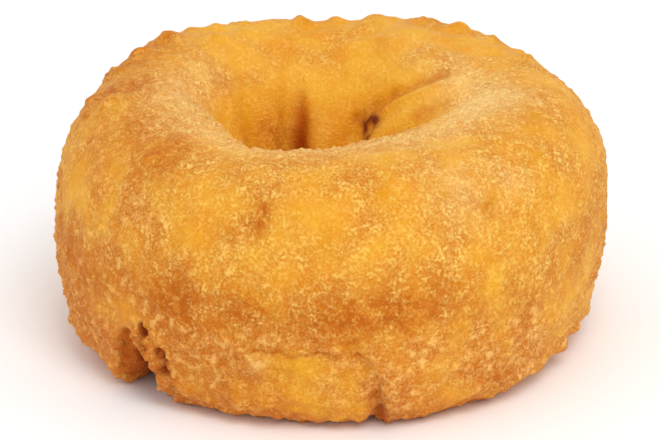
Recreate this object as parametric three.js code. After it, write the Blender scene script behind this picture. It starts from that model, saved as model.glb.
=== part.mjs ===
// A plain ring doughnut, fried and unglazed: one solid of dough with a funnel-shaped hole.
// Millimetres, +Z up. The origin is on the surface that it rests on, under the middle of its bounding box.
// The ring is a closed profile turned about the hole's axis, then pulled out of round the way soft dough
// is: it leans, its crown swells unevenly, its hole sits off centre, and folds run down into the hole.
import * as THREE from "three";

// Driving dimensions.
const OUTER_RADIUS = 42;
const HEIGHT = 38.5;
const WIDEST_HEIGHT = 16; // where the outside is furthest from the axis
const CROWN_RADIUS = 27.5; // where the top is highest
const THROAT_RADIUS = 7.6; // the narrowest part of the hole
const THROAT_HEIGHT = 12;
const FOOT_OUTER_RADIUS = 35.5; // the flat ring that it rests on
const FOOT_INNER_RADIUS = 16.5;
const LEAN = 2; // the widest part is this much higher at +X, and lower at -X
const HOLE_OFFSET = new THREE.Vector2(-3.5, 0.5);

// Steps of the mesh: round the ring, round its section, and along each quarter that draws the section.
const RING_STEPS = 120;
const SECTION_STEPS = 42;
const QUARTER_STEPS = 24;

// How square each quarter of the section is: 2 is an ellipse, more is squarer, less is flatter.
const OUTER_TOP = 2.85;
const OUTER_BOTTOM = 2;
const FUNNEL = 1.7;
const HOLE_BOTTOM = 2.2;

const deg = THREE.MathUtils.degToRad;

// Uneven swelling as waves round the ring: how many waves, how high in mm, and where the first crest is.
// Angle 0 is +X and 90 degrees is +Y.
const OUT_OF_ROUND = [
  { waves: 2, high: 0.35, at: deg(10) },
  { waves: 3, high: 0.3, at: deg(50) },
  { waves: 5, high: 0.25, at: deg(130) },
];
const CROWN_SWELL = [
  { waves: 1, high: 0.5, at: deg(85) },
  { waves: 2, high: 0.3, at: deg(140) },
  { waves: 3, high: 0.5, at: deg(45) },
  { waves: 5, high: 0.3, at: deg(55) },
];

// Folds that run down the funnel where the dough was pushed through: how wide and deep, and how far up the
// funnel they start, as a share of the way from the throat to the crown. A negative depth is a ridge, and
// twist is how far the fold has gone round by the time it reaches the throat.
const FOLDS = [
  { at: deg(-32), twist: deg(56), wide: 2.6, deep: 1.2, start: 0.95 },
  { at: deg(-15), twist: deg(60), wide: 3, deep: -2.6, start: 1 },
  { at: deg(4), twist: deg(64), wide: 3.2, deep: 2.6, start: 1 },
  { at: deg(106), twist: 0, wide: 2, deep: 4, start: 0.7 },
  { at: deg(131), twist: 0, wide: 2.8, deep: 2.2, start: 0.75 },
  { at: deg(212), twist: 0, wide: 2.2, deep: 1.6, start: 0.45 },
  { at: deg(262), twist: 0, wide: 2.4, deep: 1.7, start: 0.45 },
];

// Lobes, where the top of the ring is fatter and leans into the hole: where, how wide an angle, how far.
const LOBES = [
  { at: deg(40), wide: deg(24), inward: 3 },
  { at: deg(206), wide: deg(30), inward: 4.5 },
  { at: deg(312), wide: deg(34), inward: 4.5 },
];
// A lobe starts at the first of these shares of the height, and leans in full from the second.
const LOBE_HEIGHTS = [0.35, 0.85];

// A quarter of a superellipse from a level point, where its tangent is horizontal, to a steep one.
function quarter(level, steep, power) {
  return Array.from({ length: QUARTER_STEPS + 1 }, (_, i) => {
    const turn = (i / QUARTER_STEPS) * (Math.PI / 2);
    const across = Math.sin(turn) ** (2 / power);
    const along = 1 - Math.cos(turn) ** (2 / power);
    return new THREE.Vector2(
      level.x + (steep.x - level.x) * across,
      level.y + (steep.y - level.y) * along,
    );
  });
}

// The section of the ring, x away from the axis and y up, evenly spaced and closed on itself.
function ringSection() {
  const footOut = new THREE.Vector2(FOOT_OUTER_RADIUS, 0);
  const footIn = new THREE.Vector2(FOOT_INNER_RADIUS, 0);
  const widest = new THREE.Vector2(OUTER_RADIUS, WIDEST_HEIGHT);
  const crown = new THREE.Vector2(CROWN_RADIUS, HEIGHT);
  const throat = new THREE.Vector2(THROAT_RADIUS, THROAT_HEIGHT);
  const outline = [
    ...quarter(footOut, widest, OUTER_BOTTOM),
    ...quarter(crown, widest, OUTER_TOP).reverse(),
    ...quarter(crown, throat, FUNNEL),
    ...quarter(footIn, throat, HOLE_BOTTOM).reverse(),
    footOut,
  ];
  return new THREE.Path(outline).getSpacedPoints(SECTION_STEPS);
}

const sumOfWaves = (waves, angle) =>
  waves.reduce((sum, w) => sum + w.high * Math.cos(w.waves * (angle - w.at)), 0);

// The angle from b to a, between half a turn back and half a turn on.
const angleBetween = (a, b) => Math.atan2(Math.sin(a - b), Math.cos(a - b));

const bell = (x) => Math.exp(-x * x);

// Where a point of the turned ring ends up once the dough has swollen.
function swell(point) {
  const { clamp, smoothstep } = THREE.MathUtils;
  const angle = Math.atan2(point.y, point.x);
  const up = point.z / HEIGHT;
  let radius = Math.hypot(point.x, point.y);
  const inward = (OUTER_RADIUS - radius) / (OUTER_RADIUS - THROAT_RADIUS);
  const inFunnel = clamp((CROWN_RADIUS - radius) / (CROWN_RADIUS - THROAT_RADIUS), 0, 1);
  for (const fold of FOLDS) {
    const reach = smoothstep(inFunnel, 1 - fold.start, 1);
    const turned = angleBetween(angle, fold.at + fold.twist * inFunnel);
    radius += fold.deep * reach * bell((turned * radius) / fold.wide);
  }
  const onTop = smoothstep(up, ...LOBE_HEIGHTS) * Math.sin(Math.PI * inward);
  for (const lobe of LOBES) {
    radius -= lobe.inward * onTop * bell(angleBetween(angle, lobe.at) / lobe.wide);
  }
  radius += (sumOfWaves(OUT_OF_ROUND, angle) * radius) / OUTER_RADIUS;
  const lift = sumOfWaves(CROWN_SWELL, angle) * up;
  const lean = LEAN * Math.cos(angle) * Math.sin(Math.PI * up) * (1 - inFunnel);
  return new THREE.Vector3(
    radius * Math.cos(angle) + HOLE_OFFSET.x * inFunnel,
    radius * Math.sin(angle) + HOLE_OFFSET.y * inFunnel,
    point.z + lift + lean,
  );
}

function ringDoughnut() {
  const geometry = new THREE.LatheGeometry(ringSection(), RING_STEPS);
  geometry.rotateX(Math.PI / 2);
  const position = geometry.getAttribute("position");
  const point = new THREE.Vector3();
  for (let i = 0; i < position.count; i++) {
    point.fromBufferAttribute(position, i);
    position.setXYZ(i, ...swell(point).toArray());
  }
  geometry.computeBoundingBox();
  const middle = geometry.boundingBox.getCenter(new THREE.Vector3());
  geometry.translate(-middle.x, -middle.y, 0);
  geometry.computeVertexNormals();
  const friedDough = new THREE.MeshStandardMaterial({
    color: 0xe59a3c,
    roughness: 0.75,
    metalness: 0,
  });
  const mesh = new THREE.Mesh(geometry, friedDough);
  mesh.name = "ring_doughnut";
  return mesh;
}

const group = new THREE.Group();
group.add(ringDoughnut());
export default group;
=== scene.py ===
# %% [markdown]
# # A plain ring doughnut
# A cake doughnut is a soft ring of batter, dropped into hot oil and turned once. The outside dries to a
# sandy golden crust, browner where it lay in the hottest oil, and the hole is drawn into folds.
# Nothing is assembled, so the lesson has one piece: its swollen form comes from the frame, and everything
# smaller (lumps, folds, cracks, a torn edge, the crumbs of the crust) is pushed in or out of that form.

# %% Load the frame
import math

import bpy
import numpy as np
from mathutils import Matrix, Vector, noise
from mathutils.bvhtree import BVHTree


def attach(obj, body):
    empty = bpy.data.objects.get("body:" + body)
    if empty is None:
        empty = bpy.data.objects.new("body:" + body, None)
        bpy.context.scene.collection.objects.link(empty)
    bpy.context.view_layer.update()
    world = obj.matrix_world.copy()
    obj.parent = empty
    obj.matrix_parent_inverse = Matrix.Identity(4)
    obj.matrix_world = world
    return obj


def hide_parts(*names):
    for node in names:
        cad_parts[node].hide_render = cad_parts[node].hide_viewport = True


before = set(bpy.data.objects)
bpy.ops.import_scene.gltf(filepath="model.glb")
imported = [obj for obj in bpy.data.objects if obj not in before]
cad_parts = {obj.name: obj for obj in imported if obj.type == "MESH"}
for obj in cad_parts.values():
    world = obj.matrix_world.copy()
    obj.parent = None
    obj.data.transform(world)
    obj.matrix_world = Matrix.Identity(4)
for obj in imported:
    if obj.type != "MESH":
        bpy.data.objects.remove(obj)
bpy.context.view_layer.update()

MM = 0.001

# %% [markdown]
# ## The smooth ring
# The frame's ring is made of flat facets. A subdivision modifier could round them off, but it would shrink
# the ring and keep the uneven spacing. Here rays sent out from a circle in the middle of the dough find where
# its surface is, on a grid that runs round the ring and round its section. A grid like this has no poles and
# no stray faces, so it is the easiest mesh to push about. The rows are packed closer on the outside and the
# crown, which are seen, than on the underside.

# %% Find the surface with rays
CORE_RADIUS, CORE_HEIGHT = 25.0, 18.0  # mm: the circle in the middle of the dough
CAGE_ROUND, CAGE_ACROSS = 220, 112  # rays round the ring, and round its section
SEAM_AZIMUTH, SEAM_AROUND = math.radians(90), math.radians(-135)  # at the back, and under the hole
CROWDING = 0.25  # how much closer the rows are where they are closest
CROWDED_AT = math.radians(45)  # between the outside and the crown

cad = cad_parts["ring_doughnut"].data
surface = BVHTree.FromPolygons([v.co / MM for v in cad.vertices], [p.vertices for p in cad.polygons])


def azimuths(count):
    return SEAM_AZIMUTH + np.arange(count) / count * math.tau


def arounds(count):
    turn = SEAM_AROUND + np.arange(count) / count * math.tau
    return turn - CROWDING * np.sin(turn - CROWDED_AT)


def ray_hit(azimuth, around):
    out = Vector((math.cos(azimuth), math.sin(azimuth), 0))
    up = Vector((0, 0, 1))
    core = out * CORE_RADIUS + up * CORE_HEIGHT
    return surface.ray_cast(core, out * math.cos(around) + up * math.sin(around))[0]


cage = np.array([[ray_hit(a, b) for a in azimuths(CAGE_ROUND)] for b in arounds(CAGE_ACROSS)])
print("cage:", cage.shape, "points")

# %% Round off the facets
ROUND, ACROSS = 840, 320  # points round the finished ring, and round its section
RING_WAVES, SECTION_WAVES = 60, 34  # how many waves of the faceted form are kept


def refined(grid, axis, count, waves_kept):
    """The same closed curves with more points: their shortest waves are dropped, which rounds off facets."""
    waves = np.fft.rfft(grid, axis=axis).take(range(waves_kept), axis=axis)
    return np.fft.irfft(waves, count, axis=axis) * (count / grid.shape[axis])


def outward(points):
    """The unit normal at every point of a grid."""
    along = np.roll(points, -1, 1) - np.roll(points, 1, 1)
    across = np.roll(points, -1, 0) - np.roll(points, 1, 0)
    normal = np.cross(along, across)
    return normal / np.linalg.norm(normal, axis=2, keepdims=True)


crust = refined(refined(cage, 0, ACROSS, SECTION_WAVES), 1, ROUND, RING_WAVES)
facing = outward(crust)
print("smooth crust:", crust.shape, "lowest", crust[..., 2].min().round(3))

# %% [markdown]
# ## Finding a place on the crust
# A sculptor would point at the clay. Here every mark is set by two angles: its azimuth round the ring (0 is
# right, -90 is the front) and how far it is around the section (0 is the outside, 90 the crown, 180 the
# throat). A crack or a fold is a short path of such places, and what it does fades with the distance from
# the path. Measuring from points that noise has shaken makes its edges ragged.


# %% Places, paths and noise
def place(azimuth, around):
    """The point of the smooth crust at these two angles, in degrees."""
    turned = np.angle(np.exp(1j * (azimuths(ROUND) - math.radians(azimuth))))
    tilted = np.angle(np.exp(1j * (arounds(ACROSS) - math.radians(around))))
    return crust[np.abs(tilted).argmin(), np.abs(turned).argmin()]


def distance(points, *places):
    """How far each point is from the path through these places, in mm."""
    path = [place(*angles) for angles in places]
    if len(path) == 1:
        return np.linalg.norm(points - path[0], axis=2)
    nearest = np.full(points.shape[:2], np.inf)
    for a, b in zip(path, path[1:]):
        share = np.clip((points - a) @ (b - a) / ((b - a) @ (b - a)), 0, 1)
        nearest = np.minimum(nearest, np.linalg.norm(points - a - share[..., None] * (b - a), axis=2))
    return nearest


def bell(x):
    return np.exp(-x * x)


def rise(x, low, high):
    """A smooth step from 0 at low to 1 at high."""
    t = np.clip((x - low) / (high - low), 0, 1)
    return t * t * (3 - 2 * t)


def spots(points, places, size):
    """A round bump at each of these places, 1 high and fading out over this many mm."""
    return sum(bell(distance(points, angles) / size) for angles in places)


def lumps(points, size, kind="PERLIN_ORIGINAL", seed=0.0):
    """Noise from about -1 to 1 whose lumps are this many mm across. VORONOI_F1 is lowest inside each lump."""
    samples = (points / size + seed).reshape(-1, 3).tolist()
    return np.array([noise.noise(p, noise_basis=kind) for p in samples]).reshape(points.shape[:2])


def wavering(points, size, amount, seed):
    """The points shaken sideways, so that an edge drawn through them comes out ragged."""
    shake = np.stack([lumps(points, size, seed=seed + shift) for shift in (0.0, 17.3, 41.9)], axis=2)
    return points + amount * shake


print("front of the crown, mm:", place(-90, 90).round(1))

# %% Where every point is
x, y, z = np.moveaxis(crust, 2, 0)  # mm: to the right, to the back and up
radius = np.hypot(x, y)
azimuth = np.degrees(np.arctan2(y, x))
around = np.degrees(np.arctan2(z - CORE_HEIGHT, radius - CORE_RADIUS))
in_hole = rise(np.abs(around), 98, 122) * (around > -100)
ragged = wavering(crust, 1.6, 0.7, seed=3.0)
very_ragged = wavering(ragged, 0.7, 0.35, seed=8.0)
print("share of the points inside the hole:", in_hole.mean().round(2))

# %% [markdown]
# ## Lumps
# Frying dough swells unevenly: long low swells, then knobs a few millimetres wide where bubbles lifted the
# skin. A bump map would leave the outline smooth, and these show against the light, so they are geometry.
# From here on each feature is a shape from 0 to 1 times its height in millimetres, or its depth when that
# is taken away. The heights are added up, and the crust is pushed out by them once, at the end.

# %% Swells and knobs
KNOBS_ON_BACK = [  # (azimuth, around)
    (160, 61), (151, 67), (140, 69), (124, 72), (108, 74), (99, 73), (87, 73), (76, 72), (64, 70), (52, 68),
    (41, 66), (30, 62), (178, 59), (-176, 66),
]
swell = 0.35 * lumps(crust, 11.0, seed=1.5) + 0.25 * lumps(crust, 4.6, seed=2.5)
knobs = 0.5 * np.clip(-lumps(crust, 4.2, "VORONOI_F1", seed=5.5), 0, 1) ** 2
knobs += 0.95 * spots(ragged, KNOBS_ON_BACK, 1.7)
outer_back = rise(y, 6, 24) * rise(around, 20, 50)
knobs += 0.7 * outer_back * lumps(crust, 3.0, seed=3.5)
shape = (swell + knobs) * (1 - 0.75 * in_hole)
print("swells and knobs, mm:", shape.min().round(2), "to", shape.max().round(2))

# %% Drawn-in sides
# Both sides shrink a little, and low at the left and right the dough tucks under before it meets the foot.
# Each of these is a very wide spot or step, so it moves the outline and leaves the knobs as they are.
shape -= 0.42 * rise(-x, 22, 38) + 0.2 * rise(x, 22, 38) + 0.25 * spots(crust, [(168, 52)], 9)
shape -= 0.9 * spots(crust, [(-172, -41)], 12) + 1.3 * spots(crust, [(-20, -42)], 14)
print("with the drawn-in sides, mm:", shape.min().round(2), "to", shape.max().round(2))

# %% [markdown]
# ## Folds in the hole
# The ring of dough closed up as it fried, and its skin gathered into folds. One deep crease runs down the
# back of the hole, a soft one beside it, and at the right a tongue of dough leans across. A small bubble
# burst there and burned. The frame already has the folds as broad swellings, so only their sharp parts are
# added here.

# %% Creases and tongue
crease_path = distance(wavering(crust, 5.0, 0.6, seed=2.0), (104, 108), (106, 122), (108, 138), (109, 172))
crease_width = 0.8 + 0.9 * rise(around, 108, 138)  # it opens out on the way down
deep_crease = bell(crease_path / crease_width) * rise(around, 103, 125)
soft_crease = bell(distance(crust, (131, 104), (135, 118), (140, 138)) / 2.0)
tongue = bell(distance(crust, (62, 136), (35, 122), (20, 104)) / 1.3)
behind_tongue = bell(distance(ragged, (72, 138), (46, 123), (29, 103)) / 1.0)
shape += -0.5 * deep_crease - 0.4 * soft_crease + 0.9 * tongue - 0.45 * behind_tongue
blister_distance = distance(wavering(crust, 1.4, 0.7, seed=6.0), (57.5, 141.5))
shape += 0.3 * bell((blister_distance - 1.8) / 0.9) - 0.2 * bell(blister_distance / 1.0)  # its rim and middle
print("points in the deep crease:", int((deep_crease > 0.5).sum()))

# %% [markdown]
# ## The torn edge
# Low at the left a lump of dough stuck to its neighbour and tore away. It left a hollow with steep ragged
# sides that shows the brown crumb inside, a narrow pit above it, a notch where it runs out under the ring,
# and beside it a crumbly ridge full of small holes. Painted shade darkens the deep part of the hollow, the
# pit, the notch and the holes. A boolean cut would leave one hard edge, so the same ragged distances that
# draw the folds are used, with steeper steps.

# %% Hollow, pit and notch
hollow_path = distance(very_ragged, (-136.5, -27), (-137.5, -38), (-138, -52))
hollow_width = 2.0 + 1.2 * rise(-around, 22, 44)  # it widens towards the foot
hollow = 1 - rise(hollow_path / hollow_width, 0.7, 1.1)
deep_hollow = 1 - rise(distance(very_ragged, (-134.5, -36), (-134, -44), (-135.5, -58)), 0.9, 2.3)
pit = 1 - rise(distance(very_ragged, (-131.5, -16), (-131, -21)), 0.25, 0.95)
notch = bell(distance(very_ragged, (-133.2, -41), (-137, -58), (-142.5, -73)) / 2.1)
side_cut = bell(distance(very_ragged, (-130, -49), (-134, -62)) / 1.3)
left_rim = bell(distance(ragged, (-143, -26), (-144, -40), (-144, -54)) / 1.3)
shape += -1.1 * hollow - 1.7 * deep_hollow - 1.4 * pit + 0.5 * left_rim - 3.4 * notch - 1.5 * side_cut
shape += 0.6 * hollow * lumps(crust, 1.2, seed=23.5)
torn = np.clip(hollow + deep_hollow + pit, 0, 1)
print("torn hollow:", int((torn > 0.5).sum()), "points")

# %% Crumbly ridge beside the hollow
ridge = bell(distance(ragged, (-131.5, -23), (-129, -36), (-127.5, -52)) / 1.2)
ridge_holes = np.clip(2.4 * lumps(crust, 0.95, seed=13.5), 0, 1)
behind_ridge = bell(distance(very_ragged, (-127, -27), (-126, -38), (-124.5, -50)) / 0.6)
ridge_pits = spots(very_ragged, [(-128, -27.5), (-127, -31), (-126.8, -36)], 0.55)
shape += ridge * (0.8 - 1.1 * ridge_holes) - 0.7 * behind_ridge - 0.9 * ridge_pits
print("deepest point, mm:", shape.min().round(2))

# %% [markdown]
# ## The split front
# The crust set before the middle had finished rising, so it split low on the front. New skin formed in the
# gap: a smooth yellow panel that lies a little deeper, with crust standing over its top and right edges. The
# panel is where the distances in from its edges are all positive, so each edge can be made ragged by itself.

# %% The edges of the panel
CRACK = [(-88, 0), (-86, -4), (-83.5, -15), (-80, -28), (-78.5, -40), (-78, -55)]  # its right edge
PANEL_LEFT, PANEL_TOP, PANEL_FOOT = -103, -15.5, -50  # degrees: an azimuth, and two angles around
MM_PER_DEGREE = 0.42  # round the section, low on the outside

crack_azimuth = np.interp(-around, [-a for _, a in CRACK], [a for a, _ in CRACK])
in_from_right = np.radians(crack_azimuth - azimuth) * radius + 1.3 * lumps(crust, 2.0, seed=14.5)
in_from_left = np.radians(azimuth - PANEL_LEFT) * radius + 4.0 * lumps(crust, 3.2, seed=15.5)
below_top = (PANEL_TOP - around) * MM_PER_DEGREE
below_top += 1.5 * lumps(crust, 2.6, seed=16.5) + 0.5 * lumps(crust, 1.1, seed=17.5)
above_foot = (around - PANEL_FOOT) * MM_PER_DEGREE
print("lowest part of the crack, mm:", place(*CRACK[-1]).round(1))

# %% Panel, lips and slanting crack
inside = np.minimum(np.minimum(in_from_right - 2.0, below_top), above_foot)
panel = rise(inside, 0.0, 1.4) * rise(in_from_left, -3.0, 3.0)
slant = rise(-around, 1, 12) * (around > -75) * (azimuth < -60) * (azimuth > -110)
crack = rise(in_from_right, -0.2, 0.5) * (1 - rise(in_from_right, 0.5, 3.4)) * slant
crack_lip = bell((in_from_right + 0.7) / 0.6) * slant
crack_lip *= np.clip(0.6 + 1.2 * lumps(crust, 1.1, seed=24.5), 0, 1)
top_groove = bell((below_top - 0.2) / 0.5) * rise(in_from_left, -4, 0) * rise(in_from_right, 0, 1) * slant
crack_deep = bell(distance(very_ragged, (-80, -40), (-78, -56)) / 1.4)
crack_depth = 0.6 + 0.5 * rise(-around, 10, 45)
shape += 0.7 * crack_lip - 0.25 * panel - crack_depth * crack - 0.42 * top_groove - 0.45 * crack_deep
print("points in the panel:", int((panel > 0.5).sum()))

# %% [markdown]
# ## Foot and edges
# The doughnut is dropped in batter side down, so the skin folds over in a thin ragged lip just above the
# face that it rests on. A few scabs of crust stand off the sides. The lip follows a wandering height, which
# noise gives more simply than a drawn line would.

# %% The lip round the foot, and small scabs
SCABS = [  # (azimuth, around)
    (-169, -10), (-22, -24), (-30, -36), (-158, -30), (20, -20), (170, -25), (-150, 20), (-12, 12),
    (-104, -22), (-106, -23.5),
]
outside = (around < -15) * (around > -95)
lip_height = 3.6 + 1.6 * lumps(crust, 8.0, seed=6.5) + 1.0 * lumps(crust, 2.6, seed=7.5)
above_lip = z - lip_height
foot_lip = rise(above_lip, -1.3, -0.2) * (1 - rise(above_lip, 0.4, 4.0)) * outside
shape += (0.55 + 0.7 * lumps(crust, 2.8, seed=8.5)) * foot_lip
below_lip = (1 - rise(above_lip, -1.6, -0.3)) * outside
shape += 0.55 * lumps(crust, 2.3, seed=25.5) * below_lip
shape += 0.6 * spots(very_ragged, SCABS, 0.9)
print("height of the lip, mm:", lip_height.min().round(1), "to", lip_height.max().round(1))

# %% [markdown]
# ## Crumbs
# Oil soaks some of the skin, which turns smooth and golden. The rest stays dry, and a crust of crumbs half a
# millimetre to two millimetres wide stands up from it. They could be scattered as thousands of grains, but
# they are one skin with the crust, so the larger ones are pushed out of it here, as far as the mesh can hold
# them, and the finer ones are left to the material.

# %% Dry and oily skin
# The skin in the hole, on the new panel and at the back of the crown is oily and smooth, and it is driest on
# the lip of the hole.
behind = rise(y + 5 * lumps(crust, 6.0, seed=26.5), 0, 26) * rise(around, 25, 60)
oily = 0.75 * in_hole * rise(around, 95, 120) + 0.3 * panel + 0.2 * crack + 0.1 * below_lip + 0.55 * behind
low_down = rise(-around, -12, 22) * rise(around, -125, -95)
dryness = 0.66 + 0.6 * lumps(crust, 4.2, seed=9.5) + 0.45 * lumps(crust, 9.0, seed=19.5) + 0.15 * low_down
dry = np.clip(dryness + 0.4 * bell((around - 97) / 14) * (1 - behind) - oily, 0.15, 1)
print("dry, on average:", dry.mean().round(2))

# %% Coarse and fine crumbs
# The crust is coarsest low down and on the left, round the tear, and on the lip of the hole.
on_left = rise(-x, 14, 34)
coarse = np.clip((0.15 + 0.95 * low_down + 0.6 * on_left) * (dry + 0.2 * on_left) * (1 - behind), 0, 1)
near_tear = bell(distance(crust, (-136, -20), (-136, -50)) / 7)
hole_lip = bell((around - 106) / 9) * (1 - behind)
crumbs = np.clip(-lumps(crust, 1.25, "VORONOI_F1", seed=10.5), -0.2, 1)
big_crumbs = np.clip(-lumps(crust, 2.1, "VORONOI_F1", seed=18.5) - 0.1, 0, 1)
grain = dry * (0.18 * crumbs + 0.22 * lumps(crust, 0.8, seed=11.5) + 0.12 * lumps(crust, 1.5, seed=12.5))
grain += coarse * (0.2 * crumbs + 0.42 * big_crumbs)
grain += near_tear * (0.5 * big_crumbs + 0.3 * lumps(crust, 1.0, seed=28.5))
grain += hole_lip * (0.35 * crumbs + 0.25 * lumps(crust, 0.7, seed=27.5))
print("crumbs, mm:", grain.min().round(2), "to", grain.max().round(2))

# %% Push the crust out and in
FOOT_RELIEF = 0.02  # the foot rests flat on the table, with only this share of its relief
relief = shape + grain
fried = crust + facing * relief[..., None]
fried[..., 2] = np.maximum(fried[..., 2], FOOT_RELIEF * relief)
print("relief, mm:", relief.min().round(2), "to", relief.max().round(2))

# %% [markdown]
# ## Browning
# Crust browns where the oil is hottest and where dough stands up into it, here in a belt round the middle and
# on the knobs along the back. An image painted by hand would not fit the knobs, cracks and folds, so how
# brown, yellow or pale each point is comes from the same shapes, and it is stored on the mesh. Part of it is
# painted light: shade in the cracks, grooves, creases and holes, light high on the wall of the hole, and a
# highlight along the crown.

# %% Blots and streaks
STREAK_REACH = 0.9  # mm to either side, so that a streak looks about 1.5 mm wide
soaked = wavering(crust, 4.0, 1.8, seed=22.0)
wandering = wavering(ragged, 2.6, 1.0, seed=32.0)


def blots(spread, *marks):
    """Blots at these places: (azimuth, around, size in mm, strength)."""
    total = np.zeros(crust.shape[:2])
    for azimuth_at, around_at, size, strength in marks:
        total += strength * bell(distance(spread, (azimuth_at, around_at)) / size)
    return total


def streak(*places):
    """A broken streak where oil ran over the crust. It curves with the crust from one place to the next."""
    steps = np.linspace(0, len(places) - 1, 4 * len(places))
    route = zip(*[np.interp(steps, range(len(places)), angles) for angles in zip(*places)])
    broken = rise(lumps(crust, 3.0, seed=30.5), -0.5, 0.5)
    return bell(distance(wandering, *route) / STREAK_REACH) * broken


OIL_RUNS = [  # each goes down from the crown or along it
    [(-72, 90), (-75, 73), (-78, 56)], [(-57, 80), (-66.5, 47)], [(-42, 74), (-55, 43)],
    [(-70, 65), (-60, 62), (-50, 60)], [(-11, 77), (-37, 55)],
]
streaks = sum(streak(*run) for run in OIL_RUNS) + 0.5 * streak((-91, 66), (-91, 41))
print("points under oil streaks:", int((streaks > 0.5).sum()))

# %% Brown belt and blots, and painted shade in the grooves
belt_middle = 3 - 6 * lumps(crust, 14.0, seed=20.5)  # degrees around
belt = bell((around - belt_middle) / 13) * (0.5 + 0.6 * lumps(crust, 8.0, seed=21.5))
patches = blots(
    soaked,
    # round the middle
    (-124, 4, 5.0, 1.2), (-107, 9, 3.5, 0.9), (-86, 8, 4.5, 0.6), (-90, 3, 4.0, 0.5), (-76, 7, 4.5, 1.0),
    (-70, 4, 4.0, 0.25), (-96, -3, 3.5, 0.2), (-61, -10, 3.5, 0.3), (-20, 20, 5.0, 0.4), (40, 5, 9.0, 0.6),
    (95, 0, 10.0, 0.7), (150, -5, 9.0, 0.6), (-165, -20, 8.0, 0.35), (-150, -20, 7.0, 0.4),
    # low down, and beside the tear
    (-52, -37, 3.0, 0.9), (-118, -40, 9.0, 0.5), (-104, -36, 6.0, 0.35), (-65, -40, 10.0, 0.2),
    (-107, -22, 6.0, 0.3), (-112, -18, 4.0, 0.3), (-130, -22, 5.0, 0.5), (-127, -38, 5.0, 0.5),
    # on the front of the crown, and on its left shoulder
    (-105, 49, 2.2, 1.5), (-106, 56, 1.6, 0.5), (-98, 78, 1.4, 0.6), (-54, 47, 1.3, 0.9),
    (-90, 44, 4.0, 0.25), (-140, 66, 5.0, 0.4), (-139, 60, 5.0, 0.5), (-139, 73, 4.0, 0.6),
    (-160, 60, 6.0, 0.4), (-158, 72, 5.0, 0.4), (-172, 103, 1.2, 0.8),
    # along the back, and in the hole
    (158, 64, 6.5, 0.9), (144, 70, 5.0, 0.8), (178, 62, 6.0, 0.7), (176, 73, 4.0, 0.8), (60, 68, 5.0, 0.3),
    (100, 72, 5.0, 0.25), (125, 142, 4.5, 0.9),
)
# Painted shade: the valley by the tongue, the slanting crack and the groove over the panel are made browner.
tongue_valley_shade = bell(distance(ragged, (17, 128), (12, 122), (9, 114)) / 1.5)
brown_and_groove_shade = belt + patches + 0.5 * crack + 0.8 * top_groove + 0.15 * panel + 0.6 * tongue_valley_shade
brown_and_groove_shade = np.clip(brown_and_groove_shade + (0.12 + 0.2 * knobs) * outer_back + 0.5 * rise(-around, 62, 80), 0, 1.5)
print("brown, on average:", brown_and_groove_shade.mean().round(2))

# %% Red, pale and yellow places, with a painted highlight and painted light in the hole
red = below_lip + 0.35 * foot_lip + 0.5 * left_rim + 0.5 * ridge
red = np.clip(red + blots(soaked, (-158, -20, 12, 0.6), (-142, -34, 6, 0.4)), 0, 1)
# Partly pale dry crumbs on the lip of the hole and partly a painted highlight along the crown.
pale = 0.55 * bell((around - 98) / 14) * (1 - behind)
pale += blots(
    soaked,
    (-15, 103, 5, 0.6), (-5, 86, 5, 0.5), (20, 105, 4, 0.3), (-59, 57, 5, 0.5), (-44, 55, 3, 0.4),
)
pale += blots(ragged, (-104, -22, 1.3, 0.5), (-106, -23.5, 1.2, 0.4))
pale = np.clip(pale, 0, 1)
# Painted light: the hole's wall is yellow high up, where light falls, and orange lower down in shade. The
# panel and the soft crease are yellow skin.
yellow_and_lit_wall = np.clip(0.7 * in_hole * rise(-np.abs(around), -140, -105) + 0.6 * panel + soft_crease, 0, 1)
print("red, pale and yellow, on average:", [round(float(mark.mean()), 2) for mark in (red, pale, yellow_and_lit_wall)])

# %% Bare crumb, painted shade and the burned blister
# Bare crumb where the dough tore and no oil reached, painted shade where no light reaches (down the crease,
# behind the tongue and the ridge, in the holes, the pit, the notch and the deep crack), and the ring of
# burned skin round the burst bubble.
# Painted shade down the deep crease, darker lower down, and in the valley behind the tongue.
crease_shade = deep_crease * rise(around, 108, 138) + 0.5 * behind_tongue
# Crumb colour where the dough tore, also used as painted shade in the ridge's holes, behind it and in
# creases.
crumb_and_shade = np.clip(torn + 0.7 * ridge * ridge_holes + behind_ridge * 0.6 + 0.3 * crack_deep + crease_shade, 0, 1)
# Painted shade, darker still, deep in the hollow, the pit, the ridge's pits, the notch, the crack and the
# crease.
painted_shade = deep_hollow + pit + ridge_pits + 0.8 * notch + 0.2 * crack_deep
painted_shade = np.clip(painted_shade + 0.6 * deep_crease * rise(around, 125, 150), 0, 1)
blister = bell((blister_distance - 1.7) / 1.0) * (0.6 + 0.5 * rise(lumps(crust, 1.3, seed=31.5), -0.5, 0.3))
print("points of bare crumb:", int((crumb_and_shade > 0.5).sum()), "and of burned skin:", int((blister > 0.5).sum()))

# %% [markdown]
# ## One mesh
# The grid becomes quads, with a map that unrolls the ring: once round it and once around its section. The
# marks go along as attributes, one number for each point, which a material can read by name.

# %% Make the mesh
UV_NAME = "OFBake"


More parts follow.
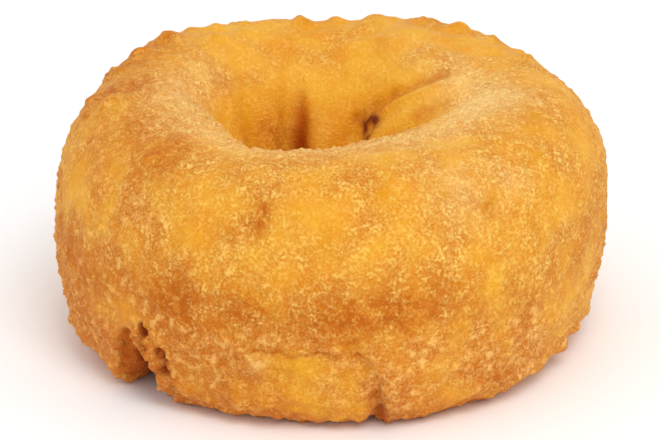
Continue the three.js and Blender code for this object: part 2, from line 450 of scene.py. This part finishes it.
def ring_mesh(name, points, attributes):
    rows, columns = points.shape[:2]
    index = np.arange(rows * columns).reshape(rows, columns)
    right, above = np.roll(index, -1, 1), np.roll(index, -1, 0)
    quads = np.stack([index, right, np.roll(above, -1, 1), above], axis=2).reshape(-1, 4)
    mesh = bpy.data.meshes.new(name)
    mesh.from_pydata((points.reshape(-1, 3) * MM).tolist(), [], quads.tolist())
    row, column = np.divmod(np.arange(rows * columns), columns)
    corners = np.array([(0, 0), (1, 0), (1, 1), (0, 1)])
    uv = (np.stack([column, row], 1)[:, None] + corners) / (columns, rows)
    mesh.uv_layers.new(name=UV_NAME).data.foreach_set("uv", uv.ravel())
    for attribute, values in attributes.items():
        layer = mesh.attributes.new(attribute, "FLOAT", "POINT")
        layer.data.foreach_set("value", values.ravel())
    mesh.shade_smooth()
    return mesh


marks = {"brown_and_groove_shade": brown_and_groove_shade, "red": red, "crumb_and_shade": crumb_and_shade, "painted_shade": painted_shade, "blister": blister, "yellow_and_lit_wall": yellow_and_lit_wall}
marks |= {"dry": dry, "coarse": coarse, "pale": pale, "oil": streaks}
doughnut = bpy.data.objects.new("fried_ring_doughnut", ring_mesh("fried_ring_doughnut", fried, marks))
bpy.context.scene.collection.objects.link(doughnut)
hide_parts("ring_doughnut")
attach(doughnut, "root")
print("faces:", len(doughnut.data.polygons))

# %% [markdown]
# ## Fried dough crust
# Crust is starch and sugar that set and browned in hot oil. It gives the eye two things at once. Dry crumbs
# stand up from it and scatter the light, so they look pale and matt. The oily skin between them lets light in
# a little way, so it is deeper in colour and slightly glossy. One image could hold the colours, but a
# pattern in the part's own space has no seams and stays sharp from near and from every side.


# %% Colours and one node helper
def linear(colour):
    """An sRGB hex colour as linear red, green, blue and alpha."""
    parts = [int(colour[i : i + 2], 16) / 255 for i in (1, 3, 5)]
    return [c / 12.92 if c <= 0.04045 else ((c + 0.055) / 1.055) ** 2.4 for c in parts] + [1]


def add(tree, kind, inputs=None, output=None, **settings):
    """Adds a node and gives one output. An input that is given an output is linked, and others are set."""
    node = tree.nodes.new("ShaderNode" + kind)
    for name, value in settings.items():
        setattr(node, name, value)
    for name, value in (inputs or {}).items():
        socket = next(s for s in node.inputs if s.identifier == name)
        if isinstance(value, bpy.types.NodeSocket):
            tree.links.new(value, socket)
        else:
            socket.default_value = value
    return node.outputs[output] if output else next(s for s in node.outputs if s.enabled)


GOLD, ORANGE, YELLOW = linear("#f2b83a"), linear("#e6951c"), linear("#ecad08")  # oily skin, and YELLOW is also painted light high on the wall of the hole
PALE_CRUMB, ROSY_CRUMB, SANDY = linear("#fbca68"), linear("#fdc070"), linear("#fcd284")  # tops of crumbs, and SANDY is also a painted highlight along the crown
GAP, DEEP_GAP = linear("#d07704"), linear("#c66408")  # between crumbs
BROWN, REDDISH, OIL_STREAK = linear("#c0640a"), linear("#cc6a26"), linear("#dc9404")  # cooked longer, and BROWN is also painted shade in the crack, grooves and valley
CRUMB_AND_SHADE, SHADE_IN_HOLES, BURNED = linear("#b65804"), linear("#862800"), linear("#7c3410")  # torn crumb, painted shade in holes and creases, and burned skin
print("gold in linear light:", [round(c, 3) for c in GOLD])

# %% Oily golden skin
# The skin is cloudy over about 7 mm and mottled over about 2.4 mm. The grit on it is really 0.1 to 0.2 mm
# wide, too fine to show, so it is drawn 0.36 mm wide.
dough = bpy.data.materials.new("fried_dough_crust")
dough.use_nodes = True
tree = dough.node_tree
shader = tree.nodes["Principled BSDF"]
place_in_part = add(tree, "TexCoord", output="Object")


def pattern(size, detail=2.0, roughness=0.5, low=0.35, high=0.65, most=1.0):
    """Noise whose lumps are this many mm across, stretched so that low to high goes from 0 to most."""
    inputs = {"Vector": place_in_part, "Scale": 1 / (size * MM), "Detail": detail, "Roughness": roughness}
    cloud = add(tree, "TexNoise", inputs)
    return add(tree, "MapRange", {"Value": cloud, "From Min": low, "From Max": high, "To Max": most})


def laid_over(below, coat, mark, share):
    """The colour below, with a coat over it where the crust has this mark, and share says how much."""
    marked = add(tree, "Attribute", output="Fac", attribute_name=mark)
    amount = add(tree, "Math", {"Value": marked, "Value_001": share}, operation="MULTIPLY")
    return add(tree, "Mix", {"Factor_Float": amount, "A_Color": below, "B_Color": coat}, data_type="RGBA")


cloudy = pattern(7.0, detail=3.0)
mottled = pattern(2.4, detail=3.0, roughness=0.6, most=0.5)
gritty = pattern(0.36, roughness=0.6, low=0.3, high=0.7)
clouds = {"Factor_Float": cloudy, "A_Color": GOLD, "B_Color": ORANGE}
oily_skin = add(tree, "Mix", clouds, data_type="RGBA")
mottles = {"Factor_Float": mottled, "A_Color": oily_skin, "B_Color": YELLOW}
oily_skin = add(tree, "Mix", mottles, data_type="RGBA")
# Yellow skin on the panel and soft crease, and painted light high on the wall of the hole.
oily_skin = laid_over(oily_skin, YELLOW, "yellow_and_lit_wall", 0.7)
print("nodes for the oily skin:", len(tree.nodes))

# %% Pale crumbs over a darker ground
# Crumbs of two sizes: about 1.1 mm, mostly where the crust is coarse, and fine ones everywhere. The fine ones
# are really about 0.3 mm wide and are drawn 0.5 mm wide, so that they show.
coarse_here = add(tree, "Attribute", output="Fac", attribute_name="coarse")
dry_here = add(tree, "Attribute", output="Fac", attribute_name="dry")


def crumb_tips(size, on_fine, on_coarse):
    """The tops of crumbs this many mm across: 0 between them, and this high on fine and on coarse crust."""
    cells = add(tree, "TexVoronoi", {"Vector": place_in_part, "Scale": 1 / (size * MM)}, feature="SMOOTH_F1")
    tops = add(tree, "MapRange", {"Value": cells, "From Min": 0.55, "From Max": 0.25})
    height = add(tree, "MapRange", {"Value": coarse_here, "To Min": on_fine, "To Max": on_coarse})
    return add(tree, "Math", {"Value": tops, "Value_001": height}, operation="MULTIPLY")


large_tips = crumb_tips(1.1, on_fine=0.1, on_coarse=1.0)
small_tips = crumb_tips(0.5, on_fine=1.0, on_coarse=0.75)
tips = add(tree, "Math", {"Value": large_tips, "Value_001": small_tips}, operation="MAXIMUM")
tips = add(tree, "Math", {"Value": tips, "Value_001": pattern(1.6, most=0.9)}, operation="MULTIPLY")
tips = add(tree, "Math", {"Value": gritty, "Value_001": 0.6, "Value_002": tips}, operation="MULTIPLY_ADD")
tips = add(tree, "MapRange", {"Value": tips, "From Min": 0.12, "From Max": 1.05})
between = laid_over(GAP, DEEP_GAP, "coarse", 0.6)
crumb_top = laid_over(PALE_CRUMB, ROSY_CRUMB, "coarse", 0.6)
crumbly = {"Factor_Float": tips, "A_Color": between, "B_Color": crumb_top}
dry_crust = add(tree, "Mix", crumbly, data_type="RGBA")
dry_share = add(tree, "MapRange", {"Value": dry_here, "To Min": 0.1, "To Max": 0.95})
both_skins = {"Factor_Float": dry_share, "A_Color": oily_skin, "B_Color": dry_crust}
colour = add(tree, "Mix", both_skins, data_type="RGBA")
mostly_tips = add(tree, "MapRange", {"Value": tips, "To Min": 0.5, "To Max": 1.2})
# Pale crumbs, and a painted highlight along the crown and the lip of the hole.
colour = laid_over(colour, SANDY, "pale", mostly_tips)
colour = laid_over(colour, OIL_STREAK, "oil", 0.75)
print("nodes with the crumbs:", len(tree.nodes))

# %% Browned, torn and burned places, and painted shade
# Browning breaks up into blots about 1.2 mm wide, and it is weaker on the tops of pale crumbs.
blotchy = pattern(1.2, detail=3.0, roughness=0.7, low=0.3, high=0.7)
in_blots = add(tree, "MapRange", {"Value": blotchy, "To Min": 0.3, "To Max": 1.1})
off_tips = add(tree, "MapRange", {"Value": tips, "To Min": 1.0, "To Max": 0.5})
brown_and_shade_share = add(tree, "Math", {"Value": in_blots, "Value_001": off_tips}, operation="MULTIPLY")
# Painted shade too: the crack, the groove over the panel and the valley by the tongue are browned.
colour = laid_over(colour, BROWN, "brown_and_groove_shade", brown_and_shade_share)
mostly_gaps = add(tree, "MapRange", {"Value": tips, "To Min": 0.75, "To Max": 0.3})
colour = laid_over(colour, REDDISH, "red", mostly_gaps)
grainy = add(tree, "MapRange", {"Value": gritty, "To Min": 1.15, "To Max": 0.8})
# The torn crumb, and painted shade in creases, in the holes and behind the ridge.
colour = laid_over(colour, CRUMB_AND_SHADE, "crumb_and_shade", grainy)
# Painted shade deep in the holes, the pit, the notch and the crease.
colour = laid_over(colour, SHADE_IN_HOLES, "painted_shade", 1.0)
colour = laid_over(colour, BURNED, "blister", 1.0)
tree.links.new(colour, shader.inputs["Base Color"])
print("nodes with every colour:", len(tree.nodes))

# %% Its gloss, softness and finest relief
# Frying oil has an IOR of about 1.47 and starch of 1.53, and the air in the crust brings them down to 1.45.
# Oily skin is satin and dry crumbs are matt. Light goes about a millimetre into the dough, red the furthest.
gloss = add(tree, "MapRange", {"Value": dry_here, "To Min": 0.45, "To Max": 0.75})
tree.links.new(gloss, shader.inputs["Roughness"])
shader.inputs["IOR"].default_value = 1.45
shader.inputs["Specular IOR Level"].default_value = 0.18  # the crumbs shade each other's gloss
shader.inputs["Sheen Weight"].default_value = 0.1
shader.inputs["Sheen Roughness"].default_value = 0.35
shader.inputs["Sheen Tint"].default_value = linear("#ffc9a0")
shader.inputs["Subsurface Weight"].default_value = 0.1
shader.inputs["Subsurface Radius"].default_value = (1.0, 0.5, 0.2)
shader.inputs["Subsurface Scale"].default_value = 1.0 * MM
stands_up = add(tree, "MapRange", {"Value": dry_here, "To Min": 0.3, "To Max": 1.0})
finest = add(tree, "Math", {"Value": tips, "Value_001": stands_up}, operation="MULTIPLY")
bump = add(tree, "Bump", {"Height": finest, "Strength": 1.0, "Distance": 0.2 * MM})
tree.links.new(bump, shader.inputs["Normal"])
doughnut.data.materials.append(dough)
print("nodes in the crust:", len(tree.nodes))

# %% [markdown]
# ## Table, light and camera
# The doughnut stands on a sheet of plain white paper, large enough to fill the view. A white world gives soft
# light from everywhere, and one large softbox above the front gives the crumbs a lit and a shaded side. A
# small hard lamp would make the crust look like sandpaper. A long lens keeps the ring from looking stretched.

# %% Floor
PAPER_SIZE = 12  # metres
bpy.ops.mesh.primitive_plane_add(size=PAPER_SIZE, location=(0, 0, 0))
floor = bpy.context.object
floor.name = "pale_floor"
paper = bpy.data.materials.new("white_table_paper")
paper.use_nodes = True
paper.node_tree.nodes["Principled BSDF"].inputs["Base Color"].default_value = linear("#ffffff")
paper.node_tree.nodes["Principled BSDF"].inputs["Roughness"].default_value = 0.9  # uncoated and matt
floor.data.materials.append(paper)
print("floor:", floor.name, "with", paper.name)

# %% Light
world = bpy.data.worlds.new("soft_white_room")
world.use_nodes = True
world.node_tree.nodes["Background"].inputs["Color"].default_value = (1, 1, 1, 1)
world.node_tree.nodes["Background"].inputs["Strength"].default_value = 0.86
bpy.context.scene.world = world
bpy.context.scene.view_settings.view_transform = "Standard"

MIDDLE_OF_DOUGH = Vector((0, 0, 0.02))
lamp = bpy.data.lights.new("key_softbox", "AREA")
lamp.size = 0.35  # metres: four times as wide as the doughnut, for soft shadows
lamp.energy = 1.7  # watts
softbox = bpy.data.objects.new("key_softbox", lamp)
softbox.location = (0.14, -0.4, 0.58)
softbox.rotation_euler = (MIDDLE_OF_DOUGH - softbox.location).to_track_quat("-Z", "Y").to_euler()
bpy.context.scene.collection.objects.link(softbox)
print("softbox:", round((MIDDLE_OF_DOUGH - softbox.location).length, 2), "m away")

# %% Camera
CAMERA_DISTANCE = 0.6  # metres
CAMERA_RISE = math.radians(22.5)
VIEW_WIDTH = 0.1004  # metres: how much fits across the picture, at the doughnut
target = Vector((0, 0, 0.0185))
back = Vector((0, -math.cos(CAMERA_RISE), math.sin(CAMERA_RISE)))
lens = bpy.data.cameras.new("camera")
lens.sensor_width = 36
lens.lens = lens.sensor_width * CAMERA_DISTANCE / VIEW_WIDTH
lens.shift_y = -0.012
camera = bpy.data.objects.new("camera", lens)
camera.location = target + back * CAMERA_DISTANCE
camera.rotation_euler = (-back).to_track_quat("-Z", "Y").to_euler()
bpy.context.scene.collection.objects.link(camera)
bpy.context.scene.camera = camera
print("lens, mm:", round(lens.lens))
